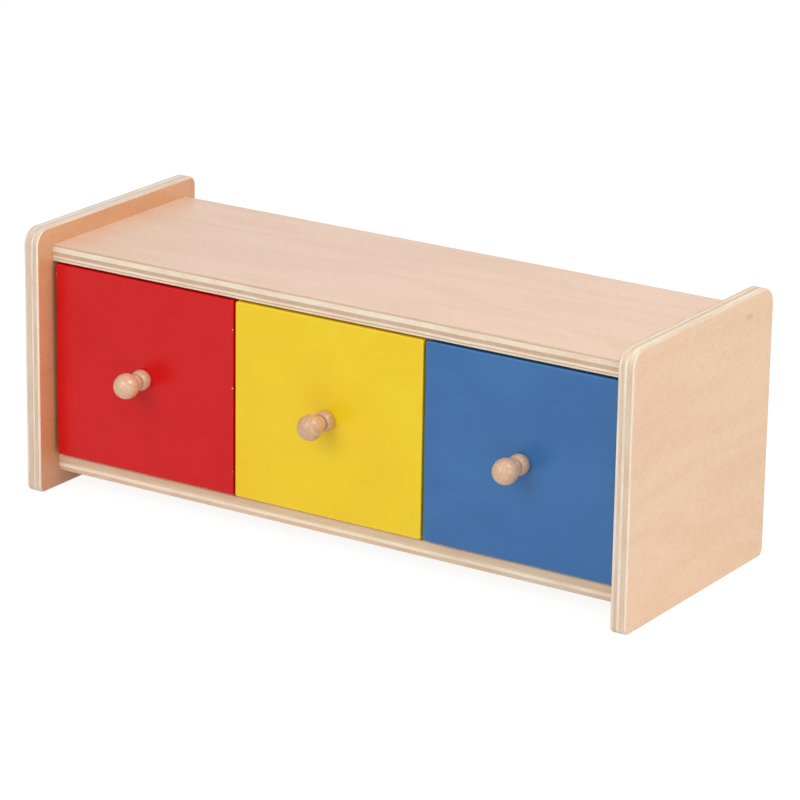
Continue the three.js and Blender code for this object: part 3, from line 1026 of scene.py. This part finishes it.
def buildBinSide(colour, side):
    node = f"{colour}_bin_{side}_side"
    low, high, middle = boxOf(node)
    frontLow, frontHigh, _ = boxOf(f"{colour}_front")
    floorLow, floorHigh, _ = boxOf(f"{colour}_bin_floor")
    backLow, backHigh, _ = boxOf(f"{colour}_bin_back")
    pivot = pivots[f"{colour}_bin"]
    values = binSide
    face = frontHigh.y + values["glueLine"]
    toe = pivot.z - low.z
    reach = high.y - pivot.y
    tongueTop = high.z - binFront["tongueInset"]
    tongueBottom = frontLow.z + binFront["tongueInset"]
    toeAngle = math.degrees(math.acos((face - pivot.y) / toe))
    heelAngle = math.degrees(math.asin(toe / reach))
    outline = [Vector((face, high.z)), Vector((face, tongueTop)), Vector((low.y, tongueTop))]
    outline += [Vector((low.y, tongueBottom)), Vector((face, tongueBottom))]
    outline += arcPoints((pivot.y, pivot.z), toe, -toeAngle, -90, values["arcSteps"])
    outline += arcPoints((pivot.y, pivot.z), reach, -heelAngle, 0, values["arcSteps"])
    outline.append(Vector((high.y, backHigh.z + values["rearDrop"])))
    shape = sweep(outline, low.x, high.x, values["arris"], caseAxes, values["arrisSteps"])
    cutter = bmesh.new()
    addBar(cutter, low.x - overcut, high.x + overcut, pivot.y, pivot.z, values["pinRadius"])
    inside = cutSpan(low.x if side == "right" else high.x, sideSigns[side], values["groove"])
    play = binFront["play"]
    grooveLow = (inside[0], face - values["grooveStart"], floorLow.z - play)
    addBlock(cutter, grooveLow, (inside[1], floorHigh.y + play, floorHigh.z + play))
    backGroove = bmesh.new()
    grooveLow = (inside[0], backLow.y - play, floorHigh.z)
    addBlock(backGroove, grooveLow, (inside[1], backHigh.y + play, backHigh.z + play))
    spot = middle + towardsBack * values["grainShift"] * (binColours.index(colour) + 1) * sideSigns[side]
    name = f"{colour}Bin{side.title()}Side"
    body, tools = f"{colour}_bin", [cutter, backGroove]
    piece = place(name, shape, binPlywood, body, spot, towardsBack, upwards, tools)
    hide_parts(node)


binSlat = {
    "arris": 0.0003,
    "cornerRadius": 0.0005,
    "roundSteps": 3,
    "grainShift": {"floor": 0.19, "back": -0.23},
}


# A bin's floor or back, whose flat side lies along the box and across
def buildBinSlat(colour, kind, plywood, across, through):
    node = f"{colour}_bin_{kind}"
    low, high, middle = boxOf(node)
    values = binSlat
    corners = [(corner.x, corner.dot(across)) for corner in (low, high)]
    outline = roundedOutline(*corners, [values["cornerRadius"]] * 4, values["roundSteps"])
    axes = (alongBox, across, through)
    shape = sweep(outline, low.dot(through), high.dot(through), values["arris"], axes, values["roundSteps"])
    spot = middle + alongBox * values["grainShift"][kind] * (binColours.index(colour) + 1)
    name, body = f"{colour}Bin{kind.title()}", f"{colour}_bin"
    piece = place(name, shape, plywood, body, spot, alongBox, across)
    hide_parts(node)


knob = {
    "sides": 96,
    "smooth": 50,
    "boreRadius": 0.0019,
    "boreDepth": 0.0103,
    "beadRadius": 0.00555,
    "beadMiddle": 0.00265,
    "beadLength": 0.006,
    "beadSteps": 24,
    # The bead, groove and ring marks paint shade into the knob's colour
    "beadEdgeShadeMark": 0.6,
    "grooveRadius": 0.0034,
    "grooveWidth": 0.0013,
    "grooveFloor": 0.0003,
    "grooveDip": 0.0001,
    "grooveShadeMark": 1.0,
    "throatRadius": 0.004,
    "ringRadius": 0.0045,
    "ringSteps": 10,
    "ringLean": 0.6,
    "ringFullness": 0.5,
    "ringEndShadeMark": 0.5,
    "headRadius": 0.0068,
    "headSteps": 36,
    "grainTurn": 25,
    "grainTurnStep": 140,
}


# From the bore out over the bead, the groove, the ring and the round head. The marks on the bead's edge, the
# groove and the ring's ends paint shade into the knob's colour there.
def knobProfile(length):
    values = knob
    bore, deep = values["boreRadius"], values["boreDepth"]
    profile = [(0, deep), (bore, deep), (bore, 0)]
    beadMiddle, beadRadius, beadLength = values["beadMiddle"], values["beadRadius"], values["beadLength"]
    foot = math.degrees(math.asin(beadMiddle / beadRadius))
    rise = math.degrees(math.asin((beadLength - beadMiddle) / beadRadius))
    bead = arcPoints((0, beadMiddle), beadRadius, -foot, rise, values["beadSteps"])
    dip, floor = values["grooveDip"], values["grooveFloor"]
    profile += [(p.x, p.y) for p in bead[:-1]] + [(bead[-1].x - dip, bead[-1].y, values["beadEdgeShadeMark"])]
    groove = beadLength + values["grooveWidth"] / 2
    grooveEnd = beadLength + values["grooveWidth"]
    for out, along in ((dip, -floor), (0.0, 0.0), (dip, floor)):
        profile.append((values["grooveRadius"] + out, groove + along, values["grooveShadeMark"]))
    throat, headRadius = values["throatRadius"], values["headRadius"]
    throatAngle = math.degrees(math.acos(throat / headRadius))
    head = arcPoints((0, length - headRadius), headRadius, -throatAngle, 90, values["headSteps"])
    ringSpan = head[0].y - grooveEnd
    steps = values["ringSteps"]
    for step in range(steps + 1):
        share = step / steps
        atEnd = step in (0, steps)
        swell = 0.0 if atEnd else math.sin(math.pi * share ** values["ringLean"]) ** values["ringFullness"]
        radius = throat + (values["ringRadius"] - throat) * swell
        profile.append((radius, grooveEnd + ringSpan * share, values["ringEndShadeMark"] if atEnd else 0.0))
    return profile + [(max(p.x, 0), p.y) for p in head[1:-1]] + [(0, length)]


def buildKnob(colour):
    node = f"{colour}_knob"
    low, high, middle = boxOf(node)
    spot = Vector((middle.x, high.y, middle.z))
    shape = turn(knobProfile(high.y - low.y), spot, -towardsBack, knob["sides"])
    turned = math.radians(knob["grainTurnStep"] * binColours.index(colour) + knob["grainTurn"])
    grain = alongBox * math.cos(turned) + upwards * math.sin(turned)
    across = upwards * math.cos(turned) - alongBox * math.sin(turned)
    name, beech, body = f"{colour}Knob", knobBeeches[colour], f"{colour}_bin"
    piece = place(name, shape, beech, body, spot, grain, across, smooth=knob["smooth"])
    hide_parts(node)


screw = {
    "sides": 48,
    "smooth": 30,
    "headRadius": 0.0035,
    "headFlat": 0.0032,
    "headRim": 0.0003,
    "headDepth": 0.0021,
    "shankRadius": 0.00175,
    "pointLength": 0.002,
    "tipRadius": 0.0004,
    "tipLength": 0.0001,
    "recessWide": 0.0009,
    "recessLong": 0.0036,
    "recessDeep": 0.0012,
    "recessTaper": 0.55,
    "recessOut": 0.001,
}


def buildScrew(colour):
    node = f"{colour}_knob_screw"
    low, high, middle = boxOf(node)
    values = screw
    length = high.y - low.y
    shank = values["shankRadius"]
    profile = [(0, 0), (values["headFlat"], 0), (values["headRadius"], values["headRim"])]
    profile += [(shank, values["headDepth"]), (shank, length - values["pointLength"])]
    profile += [(values["tipRadius"], length - values["tipLength"]), (0, length)]
    spot = Vector((middle.x, high.y, middle.z))
    shape = turn(profile, spot, -towardsBack, values["sides"])
    cutter = bmesh.new()
    half = values["recessLong"] / 2
    thin = values["recessWide"] / 2
    taper = values["recessTaper"]
    cross = [(half, -thin), (half, thin), (thin, thin), (thin, half), (-thin, half), (-thin, thin)]
    cross += [(-half, thin), (-half, -thin), (-thin, -thin), (-thin, -half), (thin, -half), (thin, -thin)]
    mouth = [cutter.verts.new(spot + Vector((x, values["recessOut"], z))) for x, z in cross]
    root = [cutter.verts.new(spot + Vector((x * taper, -values["recessDeep"], z * taper))) for x, z in cross]
    for index in range(len(cross)):
        cutter.faces.new((mouth[index - 1], mouth[index], root[index], root[index - 1]))
    cutter.faces.new(mouth)
    cutter.faces.new(root)
    body, name, smooth = f"{colour}_bin", f"{colour}KnobScrew", values["smooth"]
    piece = place(name, shape, screwSteel, body, spot, alongBox, upwards, [cutter], smooth)
    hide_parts(node)


for colour in binColours:
    buildFront(colour)
    buildBinSide(colour, "left")
    buildBinSide(colour, "right")
    buildBinSlat(colour, "floor", binFloorPlywood, towardsBack, upwards)
    buildBinSlat(colour, "back", binPlywood, upwards, towardsBack)
    buildKnob(colour)
    buildScrew(colour)
print("bins built")

for name, node in frame["nodes"].items():
    if name.endswith("_dowel"):
        node.data.materials.clear()
        node.data.materials.append(plainBeech)
print("dowels finished")


# The stage, the lights and the camera

stage = {
    "floorHalf": 6.0,
    "floorColour": (0.86, 0.86, 0.86, 1.0),
    "white": (1.0, 1.0, 1.0, 1.0),
    "glow": 0.88,
    "shadow": (0.24, 0.24, 0.24, 1.0),
    "ambient": 0.48,
    "ambientTilt": 0.28,
}
lamps = {
    "frontLamp": {"at": (-0.2, -1.65, 1.12), "size": 1.6, "power": 13.4},
    "sideLamp": {"at": (0.85, -0.04, 1.13), "size": 0.5, "power": 6.2},
    "fillLamp": {"at": (0.8, -1.4, 0.5), "size": 1.0, "power": 0.8},
}
photoCamera = {
    "at": (1.069914, -1.645397, 0.715315),
    "azimuth": 32.8041,
    "elevation": 18.2332,
    "roll": 0.8792,
    "lens": 179.6109,
    "sensor": 36.0,
    "clip": (0.05, 30.0),
}


def seenDirectly(tree):
    path = tree.nodes.new("ShaderNodeLightPath").outputs
    seen = maths(tree, "MAXIMUM", path["Is Camera Ray"], path["Is Glossy Ray"])
    return maths(tree, "MAXIMUM", seen, path["Is Transmission Ray"])


def makeFloor():
    half = stage["floorHalf"]
    mesh = bpy.data.meshes.new("floor")
    corners = [(-half, -half, 0), (half, -half, 0), (half, half, 0), (-half, half, 0)]
    mesh.from_pydata(corners, [], [(0, 1, 2, 3)])
    floor = bpy.data.objects.new("floor", mesh)
    scene.collection.objects.link(floor)
    material = bpy.data.materials.new("whiteFloor")
    material.use_nodes = True
    tree = material.node_tree
    tree.nodes.clear()
    plain = addNode(tree, "ShaderNodeBsdfDiffuse", {"Color": stage["floorColour"]}).outputs[0]
    catcher = addNode(tree, "ShaderNodeBsdfDiffuse", {"Color": stage["shadow"]}).outputs[0]
    glow = {"Color": stage["white"], "Strength": stage["glow"]}
    white = addNode(tree, "ShaderNodeEmission", glow).outputs[0]
    shown = addNode(tree, "ShaderNodeAddShader", {0: white, 1: catcher}).outputs[0]
    mixed = addNode(tree, "ShaderNodeMixShader", {0: seenDirectly(tree), 1: plain, 2: shown}).outputs[0]
    below = tree.nodes.new("ShaderNodeNewGeometry").outputs["Backfacing"]
    clear = tree.nodes.new("ShaderNodeBsdfTransparent").outputs[0]
    oneSided = addNode(tree, "ShaderNodeMixShader", {0: below, 1: mixed, 2: clear}).outputs[0]
    addNode(tree, "ShaderNodeOutputMaterial", {0: oneSided})
    mesh.materials.append(material)


def makeWorld():
    world = bpy.data.worlds.new("studio")
    world.use_nodes = True
    tree = world.node_tree
    tree.nodes.clear()
    sideways = splitPoint(tree, addNode(tree, "ShaderNodeTexCoord").outputs["Generated"])["X"]
    level = maths(tree, "ADD", maths(tree, "MULTIPLY", sideways, stage["ambientTilt"]), stage["ambient"])
    soft = addNode(tree, "ShaderNodeBackground", {"Color": stage["white"], "Strength": level}).outputs[0]
    white = addNode(tree, "ShaderNodeBackground", {"Color": stage["white"], "Strength": 1.0}).outputs[0]
    mixed = addNode(tree, "ShaderNodeMixShader", {0: seenDirectly(tree), 1: soft, 2: white}).outputs[0]
    addNode(tree, "ShaderNodeOutputWorld", {0: mixed})
    scene.world = world


# A round lamp that points at the middle of the floor under the box
def makeLamp(name, values):
    lamp = bpy.data.lights.new(name, "AREA")
    lamp.shape = "DISK"
    lamp.size = values["size"]
    lamp.energy = values["power"]
    holder = bpy.data.objects.new(name, lamp)
    scene.collection.objects.link(holder)
    holder.location = values["at"]
    holder.rotation_euler = (-Vector(values["at"])).to_track_quat("-Z", "Y").to_euler()


def makeCamera():
    values = photoCamera
    azimuth, elevation, roll = [math.radians(values[key]) for key in ("azimuth", "elevation", "roll")]
    level = Vector((math.cos(azimuth), math.sin(azimuth), 0))
    away = Vector((math.sin(azimuth), -math.cos(azimuth), 0))
    back = away * math.cos(elevation) + upwards * math.sin(elevation)
    above = back.cross(level)
    right = level * math.cos(roll) + above * math.sin(roll)
    up = above * math.cos(roll) - level * math.sin(roll)
    camera = bpy.data.cameras.new("photoCamera")
    camera.sensor_width = values["sensor"]
    camera.lens = values["lens"]
    camera.clip_start, camera.clip_end = values["clip"]
    holder = bpy.data.objects.new("photoCamera", camera)
    scene.collection.objects.link(holder)
    own = Matrix((right, up, back)).transposed().to_4x4()
    own.translation = values["at"]
    holder.matrix_world = own
    scene.camera = holder


makeFloor()
makeWorld()
for lampName, lampValues in lamps.items():
    makeLamp(lampName, lampValues)
makeCamera()
scene.view_settings.view_transform = "Standard"
print("stage, lamps and camera placed")
